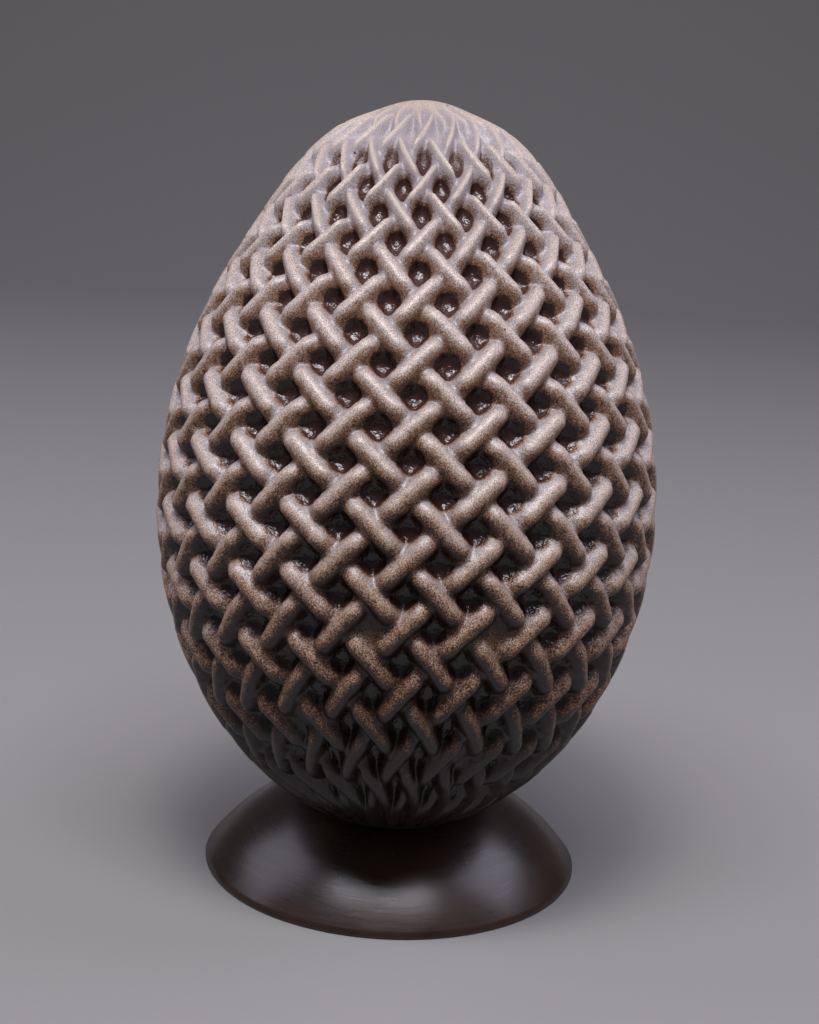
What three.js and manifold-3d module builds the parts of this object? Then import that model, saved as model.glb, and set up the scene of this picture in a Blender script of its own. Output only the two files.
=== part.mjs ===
// A moulded chocolate egg with a woven relief, leaning back in the seat of a chocolate foot.
// Millimetres, +Z up. The origin is the centre of the foot's underside.
import * as THREE from "three";
import { mergeVertices } from "three/addons/utils/BufferGeometryUtils.js";
import Module from "manifold-3d";

// ---- Egg ----
const EGG_LENGTH = 200;
const EGG_BREADTH = 136;
const EGG_FORM = [-0.123, -0.116, -0.028]; // Preston's coefficients: blunt end down, pointed end up
const SHOULDER_RISE = 2.9; // the first rows of the weave stand out round the smooth tip
const SHOULDER_ROWS = [0.3, 1.25, 5]; // where the shoulder starts, is highest and has died away
const LEAN_BACK = 15.5; // degrees, top away from the front
const LEAN_SIDE = -0.2; // degrees
const BALANCE_HEIGHT = 88; // along the egg's axis from its blunt end: the point over the foot's centre
const BALANCE_ABOVE_TABLE = 104;

// ---- Weave ----
const STRANDS = 24; // strands that run each way round the egg
const ROWS = 24.07; // rows of crossings from pole to pole
const ROW_CROWDING = 1.47; // how much closer the rows lie at the pointed end
const FIRST_ROW = 0.59; // where the first row lies, in rows from the pointed end
const WEAVE_TURN = -14.47; // degrees round the axis from the front to the first pit
const STRAND_HALF_WIDTH = 0.42; // of the distance from a strand to the middle of a gap
const UNDER_DIP = 1.8; // how far a strand's crest sinks where it passes under another
const FLOOR_DEPTH = 3.3; // at a strand's side
const PIT_DEPTH = 5.2; // at the middle of a gap
const FULL_RELIEF_RADIUS = 38; // the relief gets shallower where the egg is slimmer than this
const FADE_ROWS = [0.2, 1.9]; // rows from a pole over which the relief starts
const END_ROWS = 0.15; // rows left to the smooth tip at each pole

// ---- Foot ----
const FOOT_RADIUS = 52.8;
const FOOT_SLOPE = 53; // degrees, the dome's side at its rim
const RIM_HEIGHT = 0.8; // upright land at the bottom edge
const SEAT_GAP = 0.5; // cutter clearance, which leaves about 0.3 mm to the faceted egg
const FOOT_SEGMENTS = 72;
const DOME_STEPS = 8;
const CUTTER_SEGMENTS = 48;
const CUTTER_STEPS = 36;

const { sin, cos, acos, sqrt, max, min, floor, hypot, PI } = Math;

// Rows from the pointed end to a height, as a fraction of the egg's length.
const rowAt = (z) => (1 - z) * (ROWS + ROW_CROWDING * z);

// Radius and height on the smooth egg at Preston's angle phi, 0 at the pointed end.
function eggOutline(phi) {
  const [c1, c2, c3] = EGG_FORM;
  const [start, crest, end] = SHOULDER_ROWS;
  const c = cos(phi);
  const row = rowAt((1 + c) / 2);
  const shoulder = THREE.MathUtils.smoothstep(row, start, crest) * (1 - THREE.MathUtils.smoothstep(row, crest, end));
  const radius = (EGG_BREADTH / 2) * sin(phi) * (1 + c1 * c + c2 * c * c + c3 * c * c * c);
  return [radius + SHOULDER_RISE * shoulder, (EGG_LENGTH / 2) * (1 + c) - BALANCE_HEIGHT];
}

// The same point moved out along the outline's normal.
function offsetOutline(phi, distance) {
  const step = 1e-4;
  const [radius, height] = eggOutline(phi);
  const [r0, h0] = eggOutline(phi - step);
  const [r1, h1] = eggOutline(phi + step);
  const length = hypot(r1 - r0, h1 - h0);
  return [radius + (distance * (h0 - h1)) / length, height + (distance * (r1 - r0)) / length];
}

// Preston's angle of a row.
function rowAngle(row) {
  const slope = ROWS - ROW_CROWDING;
  const z = (-slope + sqrt(slope * slope + 4 * ROW_CROWDING * (ROWS - row))) / (2 * ROW_CROWDING);
  return acos(2 * z - 1);
}

// 0 at the smooth tips, 1 where the weave has its full depth.
function reliefScale(row, radius) {
  const fromPole = min(row, ROWS - row);
  return min(1, radius / FULL_RELIEF_RADIUS) * THREE.MathUtils.smoothstep(fromPole, ...FADE_ROWS);
}

// Depth below the highest crest. Rising strands lie over on odd rows, falling ones on even rows.
function weaveDepth(row, onRising, onFalling) {
  const wave = cos(PI * (row - FIRST_ROW));
  const rising = onRising ? (UNDER_DIP * (1 + wave)) / 2 : FLOOR_DEPTH;
  const falling = onFalling ? (UNDER_DIP * (1 - wave)) / 2 : FLOOR_DEPTH;
  return min(rising, falling);
}

function eggPoint(row, column, depth) {
  const phi = rowAngle(row);
  const [radius, height] = offsetOutline(phi, -depth * reliefScale(row, eggOutline(phi)[0]));
  const turn = THREE.MathUtils.degToRad(WEAVE_TURN + (column * 180) / STRANDS);
  return new THREE.Vector3(radius * sin(turn), -radius * cos(turn), height);
}

// Mesh lines across the strands, three to a strand: 0 is its one side, 1 its crest, 2 its other side.
const lineKind = (index) => index - 3 * floor(index / 3);
const lineAt = (index) => 2 * floor(index / 3) + 1 + (lineKind(index) - 1) * STRAND_HALF_WIDTH;

// The woven skin is a net of diamonds: line i counts across rising strands, line j across falling ones.
function wovenEgg() {
  const around = 3 * STRANDS;
  const positions = [];
  const faces = [];
  const known = new Map();
  const rowOf = (i, j) => FIRST_ROW + (lineAt(i) + lineAt(j)) / 2;
  const columnOf = (i, j) => (lineAt(i) - lineAt(j)) / 2;

  function vertex(key, point) {
    if (!known.has(key)) {
      known.set(key, positions.length / 3);
      positions.push(...point.toArray());
    }
    return known.get(key);
  }
  function corner(i, j) {
    const depth = weaveDepth(rowOf(i, j), lineKind(i) === 1, lineKind(j) === 1);
    return vertex(`${i % around}/${i + j}`, eggPoint(rowOf(i, j), columnOf(i, j), depth));
  }
  function pitCentre(i, j) {
    const row = (rowOf(i, j) + rowOf(i + 1, j + 1)) / 2;
    const column = (columnOf(i, j) + columnOf(i + 1, j + 1)) / 2;
    return vertex(`pit ${i}/${i + j}`, eggPoint(row, column, PIT_DEPTH));
  }

  for (let i = 0; i < around; i++) {
    for (let j = -2 * around; j < 2 * around; j++) {
      if (rowOf(i, j) < END_ROWS || rowOf(i + 1, j + 1) > ROWS - END_ROWS) continue;
      const [a, b, c, d] = [corner(i, j), corner(i, j + 1), corner(i + 1, j + 1), corner(i + 1, j)];
      const kinds = lineKind(i) + lineKind(j);
      if (kinds === 4) {
        const centre = pitCentre(i, j);
        faces.push([a, b, centre], [b, c, centre], [c, d, centre], [d, a, centre]);
      } else if (kinds === 1) faces.push([a, b, d], [b, c, d]);
      else faces.push([a, b, c], [a, c, d]);
    }
  }
  for (const [a, b] of openEdges(faces)) {
    const atTop = positions[3 * a + 2] > 0;
    const tip = new THREE.Vector3(0, 0, (atTop ? EGG_LENGTH : 0) - BALANCE_HEIGHT);
    faces.push([b, a, vertex(atTop ? "top" : "bottom", tip)]);
  }
  const geometry = new THREE.BufferGeometry();
  geometry.setAttribute("position", new THREE.Float32BufferAttribute(positions, 3));
  geometry.setIndex(faces.flat());
  geometry.computeVertexNormals();
  return geometry;
}

// Edges that only one face uses.
function openEdges(faces) {
  const edges = new Set(faces.flatMap(([a, b, c]) => [`${a} ${b}`, `${b} ${c}`, `${c} ${a}`]));
  return [...edges].map((edge) => edge.split(" ").map(Number)).filter(([a, b]) => !edges.has(`${b} ${a}`));
}

// A closed lathe about +Z, welded and with no collapsed faces.
function turned(profile, segments) {
  const lathe = new THREE.LatheGeometry(profile.map(([r, z]) => new THREE.Vector2(max(r, 0), z)), segments);
  lathe.rotateX(PI / 2).deleteAttribute("uv");
  lathe.deleteAttribute("normal");
  const welded = mergeVertices(lathe, 1e-3);
  const index = [...welded.index.array];
  const kept = [];
  for (let n = 0; n < index.length; n += 3) {
    const [a, b, c] = index.slice(n, n + 3);
    if (a !== b && b !== c && c !== a) kept.push(a, b, c);
  }
  return welded.setIndex(kept);
}

function leaning(object) {
  object.rotation.set(-THREE.MathUtils.degToRad(LEAN_BACK), THREE.MathUtils.degToRad(LEAN_SIDE), 0);
  object.position.z = BALANCE_ABOVE_TABLE;
  object.updateMatrix();
  return object;
}

// A low dome, a cap of a ball, standing on a narrow upright land.
function dome() {
  const slope = THREE.MathUtils.degToRad(FOOT_SLOPE);
  const ball = FOOT_RADIUS / sin(slope);
  const profile = [[0, 0], [FOOT_RADIUS, 0]];
  for (let n = 0; n <= DOME_STEPS; n++) {
    const angle = slope * (1 - n / DOME_STEPS);
    profile.push([ball * sin(angle), RIM_HEIGHT + ball * (cos(angle) - cos(slope))]);
  }
  return turned(profile, FOOT_SEGMENTS);
}

// The smooth egg, a little larger, in its place over the foot.
function seatCutter() {
  const profile = [];
  for (let n = CUTTER_STEPS; n >= 0; n--) profile.push(offsetOutline((PI * n) / CUTTER_STEPS, SEAT_GAP));
  profile[0][0] = 0;
  profile[CUTTER_STEPS][0] = 0;
  return turned(profile, CUTTER_SEGMENTS).applyMatrix4(leaning(new THREE.Object3D()).matrix);
}

async function cut(body, tool) {
  const wasm = await Module();
  wasm.setup();
  const solid = (geometry) =>
    new wasm.Manifold(new wasm.Mesh({
      numProp: 3,
      vertProperties: new Float32Array(geometry.attributes.position.array),
      triVerts: new Uint32Array(geometry.index.array),
    }));
  const mesh = solid(body).subtract(solid(tool)).getMesh();
  const geometry = new THREE.BufferGeometry();
  geometry.setAttribute("position", new THREE.BufferAttribute(mesh.vertProperties, 3));
  geometry.setIndex(new THREE.BufferAttribute(mesh.triVerts, 1));
  geometry.computeVertexNormals();
  return geometry;
}

function named(name, geometry, finish) {
  const mesh = new THREE.Mesh(geometry, new THREE.MeshStandardMaterial(finish));
  mesh.name = name;
  return mesh;
}

const bronzeDusted = { color: 0x806355, roughness: 0.55, metalness: 0.4 };
const darkChocolate = { color: 0x2a1b18, roughness: 0.3, metalness: 0 };

const chocolateEgg = new THREE.Group();
chocolateEgg.add(leaning(named("egg", wovenEgg(), bronzeDusted)));
chocolateEgg.add(named("foot", await cut(dome(), seatCutter()), darkChocolate));

export default chocolateEgg;
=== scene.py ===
"""Looks of a moulded chocolate egg with a woven relief, dusted with bronze, on a dark chocolate foot.

Shapes are worked out in millimetres and turned into metres when a mesh is finished.
"""
import math

import bmesh
import bpy
import numpy as np
from mathutils import Euler, Matrix, Vector


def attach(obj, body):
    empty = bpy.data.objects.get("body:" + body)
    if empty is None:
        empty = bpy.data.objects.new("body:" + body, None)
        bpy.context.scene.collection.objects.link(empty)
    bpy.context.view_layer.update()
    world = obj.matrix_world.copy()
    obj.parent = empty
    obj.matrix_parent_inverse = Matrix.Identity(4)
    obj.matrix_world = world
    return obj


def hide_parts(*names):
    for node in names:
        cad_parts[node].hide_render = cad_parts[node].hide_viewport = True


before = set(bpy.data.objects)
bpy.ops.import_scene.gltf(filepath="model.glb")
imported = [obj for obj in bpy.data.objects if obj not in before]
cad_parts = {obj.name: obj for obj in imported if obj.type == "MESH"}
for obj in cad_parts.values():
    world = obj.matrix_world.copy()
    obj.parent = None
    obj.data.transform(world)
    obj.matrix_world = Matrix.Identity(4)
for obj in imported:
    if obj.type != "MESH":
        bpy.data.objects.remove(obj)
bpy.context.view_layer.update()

MM = 0.001

# ---- Egg and foot, in millimetres and degrees ----
EGG = {
    "Length": 200.0,
    "Breadth": 136.0,
    "Fullness 1": -0.123,  # Preston's coefficients
    "Fullness 2": -0.116,
    "Fullness 3": -0.028,
    "Shoulder Rise": 2.9,  # the first rows of the weave stand out round the smooth tip
    "Shoulder Start": 0.3,  # in rows from the tip
    "Shoulder Crest": 1.25,
    "Shoulder End": 5.0,
    "Balance Height": 88.0,  # along the axis from the blunt end, over the foot's centre
}
LEAN_BACK = 15.5
LEAN_SIDE = -0.2
BALANCE_ABOVE_TABLE = 104.0
FOOT_RADIUS = 52.8
FOOT_SLOPE = 53.0
FOOT_LAND = 0.8
SEAT_GAP = 0.3

# ---- Weave; a step is the way from a strand's crest to the middle of a gap ----
STRANDS = 24
ROWS = 24.07
FIRST_ROW = 0.59
WEAVE = {
    "Strands": float(STRANDS),
    "Rows": ROWS,
    "Row Crowding": 1.47,
    "First Row": FIRST_ROW,
    "Turn": -14.47,
    "Strand Half Width": 0.5,  # in steps
    "Strand Roundness": 2.0,  # 2 is an ellipse, more is squarer
    "Under Dip": 1.9,
    "Floor Depth": 3.3,
    "Fillet": 0.7,
    "Bowl Radius": 0.6,  # in steps
    "Bowl Depth": 2.0,  # below the floor
    "Full Relief Radius": 38.0,
    "Fade Start": 0.3,  # in rows from either tip
    "Fade End": 1.3,
    "Wander": 0.07,  # how far strands stray sideways
    "Unevenness": 0.35,
}
STRAND_HEIGHT = 1.15  # of the floor's depth, so that the sides come down steeply on the floor
CROSSING_BLEND = 0.25
DIP_START = 0.0  # a strand starts to sink here on the wave from over (-1) to under (1)
DIP_END = 0.9
RIDGED_TOP = (0.12, 0.36)  # share of the rows over which the strands turn from ridges to round
RIDGE_ROUNDNESS = 1.05
RIDGE_SPREAD = 0.02
WIDER_TOP_BOWLS = 0.12
BOWL_SQUARENESS = 3.0  # 2 is a round bowl, more follows the four strands round it
STEADY_TIP = 1.0  # rows from a tip within which strands don't stray
STRAY_SIZE = 22.0
STRAY_OFFSETS = (317.0, 634.0)  # offsets keep one noise from looking like another
LUMP_SIZE = 7.0
LUMP_OFFSET = 911.0
LUMPS_ON_STRANDS = 0.35  # as a share of the lumps in the middle of a bowl

# ---- Mesh of the weave ----
LINE_PLACES = (0.0, 0.22, 0.42, 0.57, 0.69, 0.84)  # lines from the middle of a gap out to a crest, at 1
LINES_PER_PERIOD = 2 * len(LINE_PLACES)
ROUND_INSIDE = 0.6  # lines nearer a gap's middle than this run round it
SQUARE_OUTSIDE = 0.95  # and beyond this they run along the strands
TIP_ROWS = 0.3
TIP_RINGS = 7
TIP_REACH = 3.0  # rows within which an open edge belongs to a tip
PLAIN_CELLS = ((9, 1), (9, 5), (12, -2), (13, 5))  # row and column of gaps whose floor has no bowl
FIRST_CELL_ROW = -8  # the number of the first row in PLAIN_CELLS
ROWS_OF_CELLS = math.ceil(ROWS) + 2
BOWL_STRENGTHS = (0.75, 1.1)
CELL_SEED = 4

# ---- Powder, and painted shade where it cannot reach: it drifted down from all round, at these elevations, each with its share ----
POWDER_FALL = ((30, 0.25), (55, 0.45), (80, 0.3))
POWDER_SIDES = 12
REACH_LENGTH = 30.0  # anything farther off than this shelters nothing
REACH_LIFT = 0.15


class Field:
    """A number that varies over a surface: a socket of a node tree, with plain arithmetic."""

    def __init__(self, tree, socket):
        self.tree, self.socket = tree, socket

    def math(self, operation, *others):
        node = self.tree.nodes.new("ShaderNodeMath")
        node.operation = operation
        for socket, value in zip(node.inputs, (self, *others)):
            plug(self.tree, value, socket)
        return Field(self.tree, node.outputs[0])

    def __add__(self, other):
        return self.math("ADD", other)

    def __sub__(self, other):
        return self.math("SUBTRACT", other)

    def __mul__(self, other):
        return self.math("MULTIPLY", other)

    def __truediv__(self, other):
        return self.math("DIVIDE", other)

    def __neg__(self):
        return self.math("MULTIPLY", -1.0)

    def __radd__(self, other):
        return self + other

    def __rmul__(self, other):
        return self * other

    def __rsub__(self, other):
        return -self + other

    def __rtruediv__(self, other):
        return self.math("POWER", -1.0) * other

    def smoothstep(self, low, high):
        node = self.tree.nodes.new("ShaderNodeMapRange")
        node.interpolation_type = "SMOOTHSTEP"
        for name, value in (("Value", self), ("From Min", low), ("From Max", high)):
            plug(self.tree, value, node.inputs[name])
        return Field(self.tree, node.outputs["Result"])


def plug(tree, value, socket):
    """Feeds a socket from a field, another socket or a plain value."""
    if isinstance(value, Field):
        value = value.socket
    if isinstance(value, bpy.types.NodeSocket):
        tree.links.new(value, socket)
    else:
        socket.default_value = value


def add_node(tree, kind, inputs=None, **settings):
    """A new node with its settings, and its inputs by name or number."""
    node = tree.nodes.new(kind)
    for name, value in settings.items():
        setattr(node, name, value)
    for name, value in (inputs or {}).items():
        plug(tree, value, node.inputs[name])
    return node


def combine(tree, xyz):
    return add_node(tree, "ShaderNodeCombineXYZ", dict(enumerate(xyz))).outputs[0]


# ---- The woven egg: its net ----

def line_places():
    """Places of the mesh lines over one period, from one gap's middle to the next, two steps on."""
    return LINE_PLACES + (1.0,) + tuple(2.0 - place for place in LINE_PLACES[:0:-1])


def rounded(rising, falling):
    """Moves a crossing of mesh lines near a gap's middle so that the lines run round the bowl."""
    middle = 2.0 * round(rising / 2), 2.0 * round(falling / 2)
    u, v = rising - middle[0], falling - middle[1]
    square, circle = max(abs(u), abs(v)), math.hypot(u, v)
    if circle == 0 or square >= SQUARE_OUTSIDE:
        return rising, falling
    t = min(1.0, (SQUARE_OUTSIDE - square) / (SQUARE_OUTSIDE - ROUND_INSIDE))
    scale = 1.0 + (square / circle - 1.0) * t * t * (3.0 - 2.0 * t)
    return middle[0] + u * scale, middle[1] + v * scale


def bowl_strength(rising, falling, strength):
    """How deep the bowl of the gap around this place is, 0 where its floor is plain."""
    cell_row = round(rising / 2) + round(falling / 2)
    column = round(rising / 2) - round(falling / 2)
    if (cell_row + FIRST_CELL_ROW, column) in PLAIN_CELLS:
        return 0.0
    return float(strength[cell_row % ROWS_OF_CELLS, column % (2 * STRANDS)])


def weave_net():
    """The egg's skin unrolled: x counts rising strands, y falling ones, and strands lie on odd numbers.

    The seam is already joined, so faces there reach across the sheet until the relief wraps it round.
    """
    places = line_places()
    around = LINES_PER_PERIOD * STRANDS

    def line(index):
        return 2.0 * (index // LINES_PER_PERIOD) + places[index % LINES_PER_PERIOD]

    def row(i, j):
        return FIRST_ROW + (line(i) + line(j)) / 2

    mesh = bmesh.new()
    bowl = mesh.verts.layers.float.new("bowl")
    strength = np.random.default_rng(CELL_SEED).uniform(*BOWL_STRENGTHS, (ROWS_OF_CELLS, 2 * STRANDS))
    known = {}

    def corner(i, j):
        key = (i % around, i + j)
        if key not in known:
            vert = mesh.verts.new((*rounded(line(i), line(j)), 0.0))
            vert[bowl] = bowl_strength(line(i), line(j), strength)
            known[key] = vert
        return known[key]

    for i in range(around):
        for j in range(-2 * around, 2 * around):
            if row(i, j) > TIP_ROWS and row(i + 1, j + 1) < ROWS - TIP_ROWS:
                mesh.faces.new((corner(i, j), corner(i, j + 1), corner(i + 1, j + 1), corner(i + 1, j)))
    close_tip(mesh, -FIRST_ROW, TIP_ROWS)
    close_tip(mesh, ROWS - FIRST_ROW, -TIP_ROWS)
    net = bpy.data.meshes.new("weave_net")
    mesh.to_mesh(net)
    mesh.free()
    return net


def close_tip(mesh, tip_place, rows):
    """Closes the net to the tip at this place with rings that end up evenly spaced on the egg."""
    rim = [edge for edge in mesh.edges
           if edge.is_boundary and abs(along(edge.verts[0].co) - tip_place) < TIP_REACH]
    starts = [edge.link_loops[0].vert for edge in rim]
    sides = [(edge.other_vert(start), start) for edge, start in zip(rim, starts)]
    for vert in starts:
        vert.co = slid(vert.co, tip_place + rows)
    outer = {vert: vert for vert in starts}
    for ring in range(TIP_RINGS - 1, 0, -1):
        place = tip_place + rows * (ring / TIP_RINGS) ** 2
        inner = {vert: mesh.verts.new(slid(vert.co, place)) for vert in starts}
        for a, b in sides:
            mesh.faces.new((outer[a], outer[b], inner[b], inner[a]))
        outer = inner
    tip = mesh.verts.new((tip_place, tip_place, 0.0))
    for a, b in sides:
        mesh.faces.new((outer[a], outer[b], tip))


def along(co):
    """How far a point of the net is on the way from tip to tip, in rows."""
    return (co.x + co.y) / 2


def slid(co, place):
    """The point moved along its column to another place on the way from tip to tip."""
    shift = place - along(co)
    return co.x + shift, co.y + shift, 0.0


# ---- The woven egg: its relief ----

def egg_surface(tree, row, column, inputs):
    """Point and outward normal of the smooth egg, as (x, y, z), (nx, ny, nz) and the radius."""
    length, breadth = inputs["Length"], inputs["Breadth"]
    rows, crowding = inputs["Rows"], inputs["Row Crowding"]
    slope = rows - crowding
    root = (slope * slope + 4.0 * crowding * (rows - row)).math("SQRT")
    height = ((root - slope) / (2.0 * crowding)).math("MINIMUM", 1.0).math("MAXIMUM", 0.0)
    c = 2.0 * height - 1.0
    s = (1.0 - c * c).math("MAXIMUM", 0.0).math("SQRT")
    c1, c2, c3 = (inputs[f"Fullness {n}"] for n in (1, 2, 3))
    form = 1.0 + c * (c1 + c * (c2 + c * c3))
    form_slope = c1 + c * (2.0 * c2 + 3.0 * c3 * c)
    shoulder = row.smoothstep(inputs["Shoulder Start"], inputs["Shoulder Crest"])
    shoulder = shoulder * (1.0 - row.smoothstep(inputs["Shoulder Crest"], inputs["Shoulder End"]))
    radius = 0.5 * breadth * s * form + inputs["Shoulder Rise"] * shoulder
    out_radial = 0.5 * length * s
    out_axial = 0.5 * breadth * (c * form - s * s * form_slope)
    norm = (out_radial * out_radial + out_axial * out_axial).math("SQRT").math("MAXIMUM", 1e-6)
    turn = (inputs["Turn"] + 180.0 * column / inputs["Strands"]) * (math.pi / 180.0)
    sine, cosine = turn.math("SINE"), -turn.math("COSINE")
    point = (radius * sine, radius * cosine, height * length - inputs["Balance Height"])
    normal = (out_radial / norm * sine, out_radial / norm * cosine, out_axial / norm)
    return point, normal, radius


def noise(tree, point, size, offset):
    """Smooth noise about zero, in about -1 to 1, with lumps of the given size."""
    moved = add_node(tree, "ShaderNodeVectorMath", {0: point, 1: (offset, offset, offset)}, operation="ADD")
    node = add_node(tree, "ShaderNodeTexNoise",
                    {"Vector": moved.outputs[0], "Scale": 1.0 / size, "Detail": 2.0})
    return (Field(tree, node.outputs[0]) - 0.5) * 2.0


def strand_height(across, count, inputs, ridged, under_on_even):
    """Height of one family of strands; across is the signed distance from the nearest crest line."""
    roundness = inputs["Strand Roundness"] - ridged * (inputs["Strand Roundness"] - RIDGE_ROUNDNESS)
    half_width = inputs["Strand Half Width"] + ridged * RIDGE_SPREAD
    wave = ((count - across / 2.0) * math.pi).math("COSINE")
    if not under_on_even:
        wave = -wave
    dip = wave.smoothstep(DIP_START, DIP_END) * inputs["Under Dip"]
    x = (across / half_width).math("ABSOLUTE").math("POWER", roundness)
    top = (1.0 - x).math("MAXIMUM", 0.0).math("POWER", 1.0 / roundness)
    return (top - 1.0) * inputs["Floor Depth"] * STRAND_HEIGHT - dip


def woven_height(rising, falling, inputs, ridged):
    """Height of the strands and of the floor between them, 0 on the crests."""
    count = (rising + falling) / 2.0
    across = [place.math("FLOORED_MODULO", 2.0) - 1.0 for place in (rising, falling)]
    one_way = strand_height(across[0], count, inputs, ridged, under_on_even=True)
    other_way = strand_height(across[1], count, inputs, ridged, under_on_even=False)
    woven = one_way.math("SMOOTH_MAX", other_way, CROSSING_BLEND)
    return woven.math("SMOOTH_MAX", -inputs["Floor Depth"], inputs["Fillet"])


def bowl_ring(rising, falling, inputs, ridged):
    """How far out a place is in the bowl of its gap: 0 in the middle, 1 on the edge."""
    from_gap = [(place + 1.0).math("FLOORED_MODULO", 2.0) - 1.0 for place in (rising, falling)]
    radius = inputs["Bowl Radius"] * (1.0 + ridged * WIDER_TOP_BOWLS)
    return sum((side.math("ABSOLUTE") / radius).math("POWER", BOWL_SQUARENESS) for side in from_gap)


def new_relief_tree():
    """An empty tree with a named input for every size: the tree, its input node and the sizes as fields."""
    tree = bpy.data.node_groups.new("Woven relief", "GeometryNodeTree")
    sizes = {**EGG, **WEAVE}
    tree.interface.new_socket("Geometry", in_out="INPUT", socket_type="NodeSocketGeometry")
    for name, value in sizes.items():
        socket = tree.interface.new_socket(name, in_out="INPUT", socket_type="NodeSocketFloat")
        socket.default_value = value
    tree.interface.new_socket("Finish", in_out="INPUT", socket_type="NodeSocketMaterial")
    tree.interface.new_socket("Geometry", in_out="OUTPUT", socket_type="NodeSocketGeometry")
    group_in = tree.nodes.new("NodeGroupInput")
    return tree, group_in, {name: Field(tree, group_in.outputs[name]) for name in sizes}


def net_place(tree):
    """Where a point of the net lies, as rising, falling and the strength of its bowl."""
    position = tree.nodes.new("GeometryNodeInputPosition").outputs[0]
    place = add_node(tree, "ShaderNodeSeparateXYZ", {0: position})
    bowl = add_node(tree, "GeometryNodeInputNamedAttribute", {"Name": "bowl"}, data_type="FLOAT")
    return tuple(Field(tree, socket) for socket in (*place.outputs[:2], bowl.outputs["Attribute"]))


def relief_tree():
    """Geometry nodes that wrap the net round the egg and raise the weave."""
    tree, group_in, inputs = new_relief_tree()
    rising, falling, bowl = net_place(tree)
    row = (rising + falling) / 2.0 + inputs["First Row"]
    column = (rising - falling) / 2.0
    latitude = row / inputs["Rows"]

    # where this place would be on a perfectly regular egg, only to read the noise there
    regular = combine(tree, egg_surface(tree, row, column, inputs)[0])
    from_tip = row.math("MINIMUM", inputs["Rows"] - row)
    wander = inputs["Wander"] * from_tip.smoothstep(0.0, STEADY_TIP)
    stray = [noise(tree, regular, STRAY_SIZE, offset) * wander for offset in STRAY_OFFSETS]
    lumps = noise(tree, regular, LUMP_SIZE, LUMP_OFFSET) * inputs["Unevenness"]

    point, normal, radius = egg_surface(tree, row + stray[0], column + stray[1], inputs)
    fade = from_tip.smoothstep(inputs["Fade Start"], inputs["Fade End"])
    scale = (radius / inputs["Full Relief Radius"]).math("MINIMUM", 1.0) * fade
    ridged = 1.0 - latitude.smoothstep(*RIDGED_TOP)
    ring = bowl_ring(rising, falling, inputs, ridged)
    inside = (1.0 - ring).math("MAXIMUM", 0.0)
    height = woven_height(rising, falling, inputs, ridged) - inputs["Bowl Depth"] * bowl * inside
    uneven = lumps * (LUMPS_ON_STRANDS + (1.0 - LUMPS_ON_STRANDS) * inside)
    lift = ((height + uneven) * scale).math("MINIMUM", 0.0)

    geometry = group_in.outputs["Geometry"]
    masks = {
        "bowl_ring": ring + (1.0 - bowl.math("SIGN")) * 2.0,
        "depth": -height * fade / (inputs["Floor Depth"] + inputs["Bowl Depth"]),
        "latitude": latitude,
    }
    for name, value in masks.items():
        geometry = store(tree, geometry, name, value)
    placed = combine(tree, [p + n * lift for p, n in zip(point, normal)])
    moved = add_node(tree, "GeometryNodeSetPosition", {"Geometry": geometry, "Position": placed})
    # the powder's reach, which the finish also uses as painted shade on sheltered and downward sides
    geometry = store(tree, moved.outputs[0], "powder", powder_and_shade_reach(tree, moved.outputs[0]))
    shaded = add_node(tree, "GeometryNodeSetShadeSmooth", {"Geometry": geometry})
    whole = add_node(tree, "GeometryNodeRealizeInstances", {"Geometry": shaded.outputs[0]})
    finish = add_node(tree, "GeometryNodeSetMaterial",
                      {"Geometry": whole.outputs[0], "Material": group_in.outputs["Finish"]})
    group_out = tree.nodes.new("NodeGroupOutput")
    tree.links.new(finish.outputs[0], group_out.inputs[0])
    return tree


def powder_and_shade_reach(tree, geometry):
    """How much drifting powder settles on each point, and so how little painted shade: 1 where it lies
    level and open, 0 in a hollow.
    """
    position = tree.nodes.new("GeometryNodeInputPosition").outputs[0]
    normal = tree.nodes.new("GeometryNodeInputNormal").outputs[0]
    start = add_node(tree, "ShaderNodeVectorMath", {0: normal, 1: (REACH_LIFT,) * 3, 2: position},
                     operation="MULTIPLY_ADD").outputs[0]
    total = 0.0
    for elevation, share in POWDER_FALL:
        for side in range(POWDER_SIDES):
            around, up = 2 * math.pi * side / POWDER_SIDES, math.radians(elevation)
            toward = (math.cos(up) * math.cos(around), math.cos(up) * math.sin(around), math.sin(up))
            hit = add_node(tree, "GeometryNodeRaycast",
                           {"Target Geometry": geometry, "Source Position": start, "Ray Direction": toward,
                            "Ray Length": REACH_LENGTH})
            slant = add_node(tree, "ShaderNodeVectorMath", {0: normal, 1: toward}, operation="DOT_PRODUCT")
            slant = Field(tree, slant.outputs["Value"]).math("MAXIMUM", 0.0)
            reached = 1.0 - Field(tree, hit.outputs["Is Hit"])
            total = total + slant * reached * (share / POWDER_SIDES / math.sin(up))
    blur = add_node(tree, "GeometryNodeBlurAttribute", {"Iterations": 1}, data_type="FLOAT")
    plug(tree, total, blur.inputs["Value"])
    return blur.outputs[0]


def store(tree, geometry, name, value):
    """Keeps a field on the points under a name that the material reads."""
    node = add_node(tree, "GeometryNodeStoreNamedAttribute",
                    {"Geometry": geometry, "Name": name}, data_type="FLOAT", domain="POINT")
    plug(tree, value, node.inputs["Value"])
    return node.outputs[0]


# ---- The woven egg: its piece ----

def lean():
    """Carries a shape round the egg's own axis, in millimetres, to its place over the foot, in metres."""
    back = Matrix.Rotation(-math.radians(LEAN_BACK), 4, "X")
    side = Matrix.Rotation(math.radians(LEAN_SIDE), 4, "Y")
    return Matrix.Scale(MM, 4) @ Matrix.Translation((0, 0, BALANCE_ABOVE_TABLE)) @ (back @ side)


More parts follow.
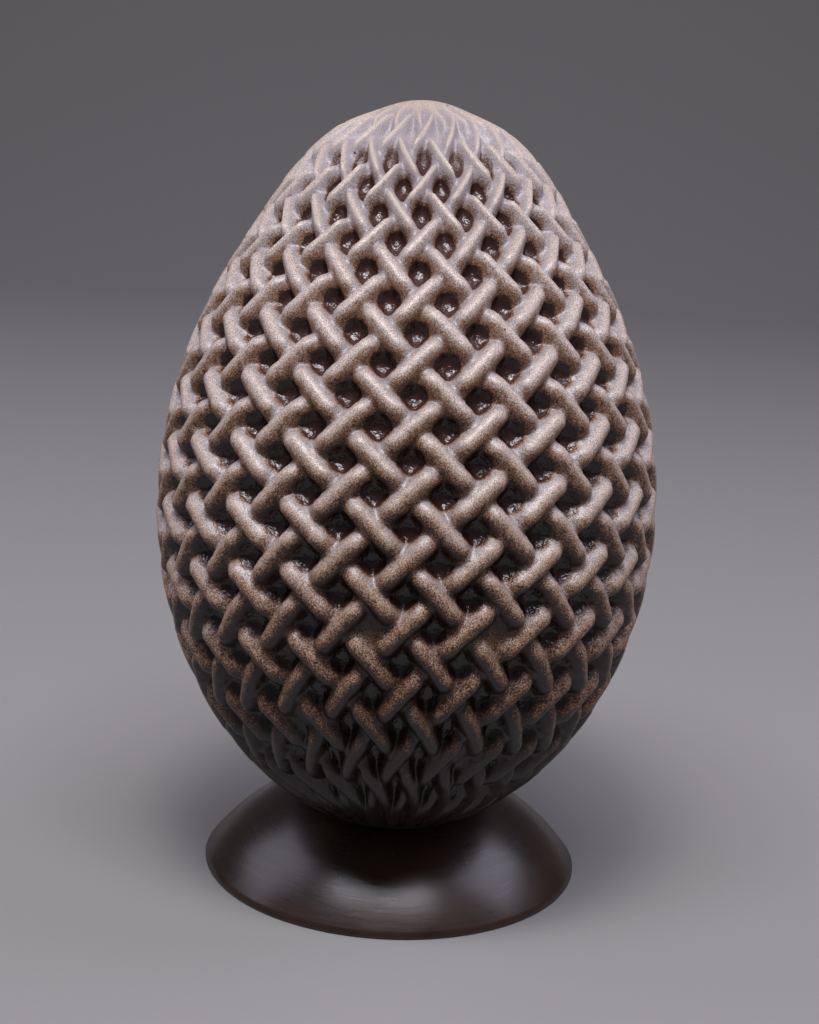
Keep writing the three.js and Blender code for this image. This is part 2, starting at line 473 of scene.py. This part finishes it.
def woven_egg(finish):
    raw = bpy.data.objects.new("weave_net", weave_net())
    bpy.context.scene.collection.objects.link(raw)
    modifier = raw.modifiers.new("Woven relief", "NODES")
    modifier.node_group = relief_tree()
    for item in modifier.node_group.interface.items_tree:
        if item.in_out == "INPUT" and item.name == "Finish":
            modifier[item.identifier] = finish
    mesh = evaluated_mesh(raw)
    bpy.data.objects.remove(raw)
    mesh.transform(lean())
    face_outwards(mesh)
    return place_piece("woven_egg", mesh, "egg")


def evaluated_mesh(thing):
    """A plain mesh of an object as its modifiers leave it."""
    deps = bpy.context.evaluated_depsgraph_get()
    shown = thing.evaluated_get(deps)
    return bpy.data.meshes.new_from_object(shown, preserve_all_data_layers=True, depsgraph=deps)


def face_outwards(mesh):
    """Turns a closed skin the right way out; its faces already agree with each other."""
    skin = bmesh.new()
    skin.from_mesh(mesh)
    if skin.calc_volume(signed=True) < 0:
        bmesh.ops.reverse_faces(skin, faces=skin.faces)
    skin.to_mesh(mesh)
    skin.free()


def place_piece(name, mesh, node):
    """Links a finished mesh as a piece that stands for a node of the solid model."""
    mesh.name = name
    piece = bpy.data.objects.new(name, mesh)
    bpy.context.scene.collection.objects.link(piece)
    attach(piece, "root")
    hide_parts(node)
    return piece


# ---- The foot ----

RIM_ROUNDING = 0.5
RIM_STEPS = 4
DOME_STEPS = 36
FOOT_SEGMENTS = 192
UNDERSIDE_RING = 0.6  # of the foot's radius
SEAT_STEPS = 120
SEAT_SEGMENTS = 160
SHARP_EDGE = 40


def lathe(profile, segments):
    """A closed turned mesh from (radius, height) points that start and end on the axis."""
    mesh = bmesh.new()
    rings = []
    for radius, height in profile:
        if radius < 1e-6:
            rings.append([mesh.verts.new((0, 0, height))])
            continue
        angles = (2 * math.pi * n / segments for n in range(segments))
        rings.append([mesh.verts.new((radius * math.cos(a), radius * math.sin(a), height)) for a in angles])
    for low, high in zip(rings, rings[1:]):
        for n in range(segments):
            lower = (low[n % len(low)], low[(n + 1) % len(low)])
            upper = (high[(n + 1) % len(high)], high[n % len(high)])
            mesh.faces.new(list(dict.fromkeys(lower + upper)))
    return mesh


def egg_profile(gap, steps):
    """The smooth egg's outline moved out by gap, from the pointed end to the blunt end.

    The shoulder is left out, because it is far from the seat.
    """
    phi = np.linspace(0, math.pi, steps)
    c, s = np.cos(phi), np.sin(phi)
    c1, c2, c3 = (EGG[f"Fullness {n}"] for n in (1, 2, 3))
    radius = EGG["Breadth"] / 2 * s * (1 + c * (c1 + c * (c2 + c * c3)))
    height = EGG["Length"] / 2 * (1 + c) - EGG["Balance Height"]
    dr, dh = np.gradient(radius, phi), np.gradient(height, phi)
    norm = np.hypot(dr, dh)
    radius, height = radius - gap * dh / norm, height + gap * dr / norm
    radius[0] = radius[-1] = 0.0
    return list(zip(radius, height))


def dome_profile():
    """From the middle of the underside, round the thin rim, up to the dome's top."""
    slope = math.radians(FOOT_SLOPE)
    ball = FOOT_RADIUS / math.sin(slope)
    edge = RIM_ROUNDING
    profile = [(0, 0), (FOOT_RADIUS * UNDERSIDE_RING, 0), (FOOT_RADIUS - 2 * edge, 0)]
    for n in range(RIM_STEPS + 1):
        a = math.pi / 2 * n / RIM_STEPS
        profile.append((FOOT_RADIUS - edge + edge * math.sin(a), edge - edge * math.cos(a)))
    for n in range(DOME_STEPS + 1):
        a = slope * (1 - n / DOME_STEPS)
        profile.append((ball * math.sin(a), FOOT_LAND + ball * (math.cos(a) - math.cos(slope))))
    return profile


def chocolate_foot(finish):
    solid = object_from(lathe(dome_profile(), FOOT_SEGMENTS), "foot_dome", Matrix.Scale(MM, 4))
    cutter = object_from(lathe(egg_profile(SEAT_GAP, SEAT_STEPS), SEAT_SEGMENTS), "seat_cutter", lean())
    cut = solid.modifiers.new("Seat", "BOOLEAN")
    cut.operation, cut.solver, cut.object = "DIFFERENCE", "EXACT", cutter
    mesh = evaluated_mesh(solid)
    for helper in (solid, cutter):
        bpy.data.objects.remove(helper)
    mesh.shade_smooth()
    mesh.set_sharp_from_angle(angle=math.radians(SHARP_EDGE))
    mesh.materials.clear()
    mesh.materials.append(finish)
    return place_piece("chocolate_foot", mesh, "foot")


def object_from(shape, name, matrix):
    """Turns a bmesh into a linked object, with its normals outwards and its place in its mesh."""
    bmesh.ops.recalc_face_normals(shape, faces=shape.faces)
    mesh = bpy.data.meshes.new(name)
    shape.to_mesh(mesh)
    shape.free()
    mesh.transform(matrix)
    thing = bpy.data.objects.new(name, mesh)
    bpy.context.scene.collection.objects.link(thing)
    return thing


# ---- Finishes; scales are in lumps to the metre ----

POWDER_GRAIN = 0.0004
SKIN_GRAIN = 0.0015
SPECKLE_RANGE = (0.33, 0.67)
BUMP_DISTANCE = 0.00015


def coords(tree):
    return tree.nodes.new("ShaderNodeTexCoord").outputs["Object"]


def texture(tree, kind, scale, **inputs):
    named = {name.title(): value for name, value in inputs.items()}
    return add_node(tree, kind, {"Vector": coords(tree), "Scale": scale, **named})


def noise_texture(tree, scale, **inputs):
    return Field(tree, texture(tree, "ShaderNodeTexNoise", scale, **inputs).outputs[0])


def grain_group():
    """Fine powder or crystal grain: a speckle between 0 and 1, and a height."""
    tree = bpy.data.node_groups.new("Grain", "ShaderNodeTree")
    size = tree.interface.new_socket("Size", in_out="INPUT", socket_type="NodeSocketFloat")
    size.default_value = POWDER_GRAIN
    for name in ("Speckle", "Height"):
        tree.interface.new_socket(name, in_out="OUTPUT", socket_type="NodeSocketFloat")
    grain_size = Field(tree, tree.nodes.new("NodeGroupInput").outputs["Size"])
    group_out = tree.nodes.new("NodeGroupOutput")
    fine = noise_texture(tree, 1.0 / grain_size, detail=2.0, roughness=0.6)
    coarse = noise_texture(tree, 0.25 / grain_size, detail=3.0)
    mixed = fine * 0.75 + coarse * 0.25
    plug(tree, mixed.smoothstep(*SPECKLE_RANGE), group_out.inputs["Speckle"])
    plug(tree, mixed, group_out.inputs["Height"])
    return tree


def grained(tree, grain, size):
    """The speckle and the height of grain of this size."""
    node = add_node(tree, "ShaderNodeGroup", node_tree=grain)
    node.inputs["Size"].default_value = size
    return Field(tree, node.outputs["Speckle"]), Field(tree, node.outputs["Height"])


def mix_color(tree, factor, first, second):
    node = add_node(tree, "ShaderNodeMix", data_type="RGBA")
    plug(tree, factor, node.inputs["Factor"])
    plug(tree, first, node.inputs[6])
    plug(tree, second, node.inputs[7])
    return node.outputs[2]


def new_material(name):
    material = bpy.data.materials.new(name)
    material.use_nodes = True
    tree = material.node_tree
    return material, tree, tree.nodes["Principled BSDF"]


def set_bump(tree, shader, height, strength):
    bump = add_node(tree, "ShaderNodeBump", {"Strength": strength, "Distance": BUMP_DISTANCE})
    plug(tree, height, bump.inputs["Height"])
    plug(tree, bump.outputs[0], shader.inputs["Normal"])


def attribute(tree, name):
    return Field(tree, add_node(tree, "ShaderNodeAttribute", attribute_name=name).outputs["Fac"])


# ---- Finish of the egg ----

# shares of the rows, from the pointed tip at 0 to the blunt one at 1
DUSTED_TOP = (0.035, 0.12)  # over which the bowls turn from dusted to bare
THICK_TIP = (0.06, 0.3)  # over which the tip's own coat of powder gives way
CLINGING_BELOW = (0.3, 0.75)  # over which the powder comes to lie on the strands' upper sides alone
PAINTED_SHADE_BELOW = (0.55, 0.85)  # over which the powder is cut back below, so that the lower egg is darker: painted shade
SEATED = (0.92, 0.97)  # over which the egg goes down into its seat

BOWL_EDGE = (0.4, 1.25)
TIP_EXTRA = 0.4
# share of the powder taken away at the bottom for painted shade
BOTTOM_SHADE_SHARE = 0.38
PATCH_SCALE = 140.0
PATCHES_IN_LATITUDE = 0.03
PATCHES_IN_BOWLS = 0.3
PATCHES_IN_POWDER = 0.08
SPECKLE_IN_POWDER = 0.2
FIRST_POWDER = 0.12  # less powder than this is neither patchy nor speckled in full
# where the powder starts and ends to cover, each with its change far down
THIN_POWDER = (0.02, 0.02, 0.12, 0.0)
THICK_POWDER = (0.14, -0.02, 0.32, -0.09)
OPEN_SKY = 0.3  # as much powder as this could reach a place that is not shaded at all, where the chocolate gets no painted shade
SUNK = (0.03, 0.4)  # share of the full depth over which the lustre turns from warm to cool, darker and greyer: painted shade and a painted cool reflection

CREST_LUSTRE = (0.53, 0.43, 0.355, 1)
CREST_LOW_LUSTRE = (0.47, 0.345, 0.245, 1)
CREST_TIP_LUSTRE = (0.57, 0.475, 0.39, 1)
# painted shade and painted cool reflection: the thick lustre down in the hollows, darker and greyer than on
# the crests
PAINTED_SHADE_LUSTRE = (0.35, 0.305, 0.29, 1)
PAINTED_SHADE_TIP_LUSTRE = (0.39, 0.345, 0.355, 1)
THIN_LUSTRE = (0.31, 0.15, 0.066, 1)
THIN_TIP_LUSTRE = (0.17, 0.105, 0.08, 1)
BARE_CHOCOLATE = (0.066, 0.027, 0.021, 1)
# painted shade: the bare chocolate where neither powder nor sky reaches, and in the pinholes
CHOCOLATE_IN_PAINTED_SHADE = (0.016, 0.008, 0.005, 1)

BARE_ROUGHNESS = 0.36
BOWL_GLOSS = 0.14
POWDER_ROUGHNESS = 0.2
TIP_COAT_LOSS = 0.4
COAT_TINT = (0.98, 0.96, 1.0, 1)
BARE_GRAIN = 0.3  # of the grain's height under powder
PEBBLE_SCALE = 1100.0
PEBBLE_HEIGHT = 1.6
FLAKE_SCALE = 3600.0
FLAKE_RANGE = (0.35, 0.65)
FLAKE_CONTRAST = 1.15
CALMER_TIP = 0.6
HOLE_SCALE = 120.0
HOLE_SIZE = (0.035, 0.055)
HOLE_RARITY = 0.65


def bronze_dusted(grain):
    """Bronze lustre over milk chocolate: thick on the pointed end, missing from the bare, glossy bowls."""
    material, tree, shader = new_material("bronze_dusted_chocolate")
    speckle, height = grained(tree, grain, POWDER_GRAIN)
    patches = noise_texture(tree, PATCH_SCALE, detail=3.0) - 0.5
    latitude = attribute(tree, "latitude") + patches * PATCHES_IN_LATITUDE
    in_bowl = 1.0 - (attribute(tree, "bowl_ring") + patches * PATCHES_IN_BOWLS).smoothstep(*BOWL_EDGE)
    near_tip = 1.0 - latitude.smoothstep(*THICK_TIP)
    low = latitude.smoothstep(*CLINGING_BELOW)
    powder = settled_powder_and_shade(tree, latitude, in_bowl, near_tip)
    mottled = patches * PATCHES_IN_POWDER + (speckle - 0.5) * SPECKLE_IN_POWDER
    powder = powder + mottled * powder.smoothstep(0.0, FIRST_POWDER)
    thin, thick = (powder.smoothstep(start + low * start_below, end + low * end_below)
                   for start, start_below, end, end_below in (THIN_POWDER, THICK_POWDER))

    color = lustre_color(tree, thin, thick, near_tip, low)
    plug(tree, flaked(tree, color, thin, near_tip), shader.inputs["Base Color"])
    roughness = BARE_ROUGHNESS - in_bowl * BOWL_GLOSS + thin * POWDER_ROUGHNESS
    plug(tree, roughness, shader.inputs["Roughness"])
    coat = (0.25 * thin + 0.75 * thick) * (0.1 + 0.9 * speckle) * (1.0 - near_tip * TIP_COAT_LOSS)
    plug(tree, coat, shader.inputs["Coat Weight"])
    shader.inputs["Specular IOR Level"].default_value = 0.6
    shader.inputs["Coat Roughness"].default_value = 0.5
    shader.inputs["Coat IOR"].default_value = 2.3
    shader.inputs["Coat Tint"].default_value = COAT_TINT
    pebbled = noise_texture(tree, PEBBLE_SCALE, detail=1.0)
    bumps = height * (BARE_GRAIN + thin * (1.0 - BARE_GRAIN)) + pebbled * in_bowl * PEBBLE_HEIGHT
    set_bump(tree, shader, bumps, 1.0)
    return material


def settled_powder_and_shade(tree, latitude, in_bowl, near_tip):
    """The powder that is left once the bowls and the seat have lost theirs, with less low down as painted
    shade.
    """
    kept = 1.0 - in_bowl * latitude.smoothstep(*DUSTED_TOP)
    powder = attribute(tree, "powder") * kept * (1.0 + near_tip * TIP_EXTRA)
    # painted shade: less powder, so darker lustre, towards the bottom
    powder = powder * (1.0 - latitude.smoothstep(*PAINTED_SHADE_BELOW) * BOTTOM_SHADE_SHARE)
    return powder * (1.0 - latitude.smoothstep(*SEATED))


def lustre_color(tree, thin, thick, near_tip, low):
    """Bare chocolate, darker in painted shade, then golden brown where the powder is thin and pale where
    thick, painted darker and cooler in the hollows.
    """
    open_to_sky = attribute(tree, "powder").smoothstep(0.0, OPEN_SKY)
    sunk = attribute(tree, "depth").smoothstep(*SUNK)
    # painted shade: bare chocolate turns near black where little sky and powder reach
    color = mix_color(tree, open_to_sky, CHOCOLATE_IN_PAINTED_SHADE, BARE_CHOCOLATE)
    color = mix_color(tree, thin, color, mix_color(tree, near_tip, THIN_LUSTRE, THIN_TIP_LUSTRE))
    crest = mix_color(tree, low, CREST_LUSTRE, CREST_LOW_LUSTRE)
    crest = mix_color(tree, near_tip, crest, CREST_TIP_LUSTRE)
    # painted shade and painted cool reflection, the deeper the stronger
    hollow = mix_color(tree, near_tip, PAINTED_SHADE_LUSTRE, PAINTED_SHADE_TIP_LUSTRE)
    color = mix_color(tree, thick, color, mix_color(tree, sunk, crest, hollow))
    # the air holes are real but have no depth here: they are drawn as dots of painted shade
    return mix_color(tree, pinholes(tree) * thin, color, CHOCOLATE_IN_PAINTED_SHADE)


def flaked(tree, color, thin, near_tip):
    """The colour with single flakes of lustre brighter or darker than the rest."""
    flakes = noise_texture(tree, FLAKE_SCALE, detail=1.0, roughness=0.7).smoothstep(*FLAKE_RANGE) - 0.5
    shine = add_node(tree, "ShaderNodeHueSaturation", {"Color": color})
    plug(tree, 1.0 + flakes * thin * (FLAKE_CONTRAST - near_tip * CALMER_TIP), shine.inputs["Value"])
    return shine.outputs[0]


def pinholes(tree):
    """Tiny air holes, few and far between."""
    cells = texture(tree, "ShaderNodeTexVoronoi", HOLE_SCALE)
    chance = Field(tree, add_node(tree, "ShaderNodeSeparateColor", {0: cells.outputs["Color"]}).outputs[0])
    near = 1.0 - Field(tree, cells.outputs["Distance"]).smoothstep(*HOLE_SIZE)
    return near * chance.math("GREATER_THAN", HOLE_RARITY)


# ---- Finish of the foot ----

DARK_CHOCOLATE = (0.022, 0.010, 0.006, 1)
PALER_CHOCOLATE = (0.045, 0.020, 0.011, 1)
CLOUD_SCALE = 60.0
CLOUD_RANGE = (0.3, 0.75)
STREAK_SCALE = 900.0
STREAK_TURN = 0.006  # how fast the streaks change round the foot, so small that they run long
FOOT_ROUGHNESS = 0.17
CLOUDED_ROUGHNESS = 0.1
STREAKED_ROUGHNESS = 0.14
SKIN_HEIGHT = 0.15
STREAK_HEIGHT = 0.7
FOOT_BUMP = 0.25


def dark_chocolate(grain):
    """Smooth tempered chocolate with a satin skin."""
    material, tree, shader = new_material("dark_chocolate")
    skin = grained(tree, grain, SKIN_GRAIN)[1]
    cloud = noise_texture(tree, CLOUD_SCALE, detail=3.0)
    streaks = turned_streaks(tree)
    color = mix_color(tree, cloud.smoothstep(*CLOUD_RANGE), DARK_CHOCOLATE, PALER_CHOCOLATE)
    plug(tree, color, shader.inputs["Base Color"])
    roughness = FOOT_ROUGHNESS + cloud * CLOUDED_ROUGHNESS + streaks * STREAKED_ROUGHNESS
    plug(tree, roughness, shader.inputs["Roughness"])
    shader.inputs["Specular IOR Level"].default_value = 0.75
    set_bump(tree, shader, cloud + SKIN_HEIGHT * skin + streaks * STREAK_HEIGHT, FOOT_BUMP)
    return material


def turned_streaks(tree):
    """Fine streaks that run round the foot, as if wiped while it turned."""
    place = add_node(tree, "ShaderNodeSeparateXYZ", {0: coords(tree)})
    x, y, z = (Field(tree, socket) for socket in place.outputs)
    radius = (x * x + y * y).math("SQRT").math("MAXIMUM", 1e-4)
    vector = combine(tree, (radius, z, x / radius * STREAK_TURN))
    node = add_node(tree, "ShaderNodeTexNoise",
                    {"Vector": vector, "Scale": STREAK_SCALE, "Detail": 3.0, "Roughness": 0.7})
    return Field(tree, node.outputs[0])


# ---- Stage, camera and light ----

CAMERA_PLACE = Vector((0.06, -534.5, 245.7))
CAMERA_DOWN = 14.97
CAMERA_ROLL = 2.88
CAMERA_TURN = -0.09  # to the right of straight at the foot's axis
SENSOR_WIDTH = 36.0
FOCAL_PIXELS = 2007.0
FRAME_LONG_SIDE = 1024.0

SWEEP_HALF_WIDTH = 4.0
SWEEP_START = 1.0
SWEEP_RADIUS = 0.8
SWEEP_STEPS = 24
SWEEP_TOP = 3.0
SWEEP_COLOR = (0.34, 0.335, 0.33, 1)
SWEEP_ROUGHNESS = 0.8

SKY_COLOR = (0.95, 0.93, 1.0, 1)
SKY_STRENGTH = 0.11
LIGHT_TARGET = Vector((0, 0, 0.1))
COOL_WHITE = (0.85, 0.81, 1.0)
PALE_WHITE = (0.92, 0.9, 1.0)
WARM_WHITE = (1.0, 0.93, 0.84)
# azimuth, elevation, distance, width and height, power, colour
LIGHTS = {
    "left_box": (-105, 38, 1.0, (0.6, 0.6), 1.9, COOL_WHITE),
    "right_box": (103, 45, 1.0, (0.6, 0.6), 2.7, COOL_WHITE),
    "top_box": (-8, 70, 1.1, (0.9, 0.24), 8.5, PALE_WHITE),
    "top_lamp": (-12, 72, 1.0, (0.2, 0.2), 2.2, WARM_WHITE),
}


def camera():
    data = bpy.data.cameras.new("camera")
    data.sensor_width = SENSOR_WIDTH
    data.lens = FOCAL_PIXELS / FRAME_LONG_SIDE * data.sensor_width
    thing = bpy.data.objects.new("camera", data)
    thing.location = CAMERA_PLACE * MM
    tilt = Euler((math.radians(90 - CAMERA_DOWN), 0, math.radians(CAMERA_TURN))).to_matrix().to_4x4()
    thing.rotation_euler = (tilt @ Matrix.Rotation(math.radians(CAMERA_ROLL), 4, "Z")).to_euler()
    bpy.context.scene.collection.objects.link(thing)
    bpy.context.scene.camera = thing


def softbox(name, azimuth, elevation, distance, size, power, color):
    """An area light aimed at the egg; azimuth 0 is the front and turns to the right."""
    a, e = math.radians(azimuth), math.radians(elevation)
    away = Vector((math.sin(a) * math.cos(e), -math.cos(a) * math.cos(e), math.sin(e)))
    data = bpy.data.lights.new(name, "AREA")
    data.shape, data.energy, data.color = "RECTANGLE", power, color
    data.size, data.size_y = size
    thing = bpy.data.objects.new(name, data)
    thing.location = LIGHT_TARGET + away * distance
    thing.rotation_euler = away.to_track_quat("Z", "Y").to_euler()
    bpy.context.scene.collection.objects.link(thing)


def sweep():
    """A pale floor that curves up into a wall behind the egg."""
    bend = [(SWEEP_START + SWEEP_RADIUS * math.sin(a), SWEEP_RADIUS * (1 - math.cos(a)))
            for a in np.linspace(0, math.pi / 2, SWEEP_STEPS)]
    side = [(-SWEEP_HALF_WIDTH, 0.0), *bend, (SWEEP_START + SWEEP_RADIUS, SWEEP_TOP)]
    sheet = bmesh.new()
    rails = [[sheet.verts.new((x, y, z)) for y, z in side] for x in (-SWEEP_HALF_WIDTH, SWEEP_HALF_WIDTH)]
    for n in range(len(side) - 1):
        sheet.faces.new((rails[0][n], rails[1][n], rails[1][n + 1], rails[0][n + 1]))
    floor = object_from(sheet, "floor", Matrix.Identity(4))
    floor.data.shade_smooth()
    material, _, shader = new_material("pale_floor")
    shader.inputs["Base Color"].default_value = SWEEP_COLOR
    shader.inputs["Roughness"].default_value = SWEEP_ROUGHNESS
    floor.data.materials.append(material)


def studio():
    sweep()
    world = bpy.data.worlds.new("studio")
    world.use_nodes = True
    sky = world.node_tree.nodes["Background"]
    sky.inputs["Color"].default_value = SKY_COLOR
    sky.inputs["Strength"].default_value = SKY_STRENGTH
    bpy.context.scene.world = world
    for name, settings in LIGHTS.items():
        softbox(name, *settings)


bpy.context.scene.view_settings.view_transform = "Standard"
camera()
studio()
chocolate_grain = grain_group()
woven_egg(bronze_dusted(chocolate_grain))
chocolate_foot(dark_chocolate(chocolate_grain))
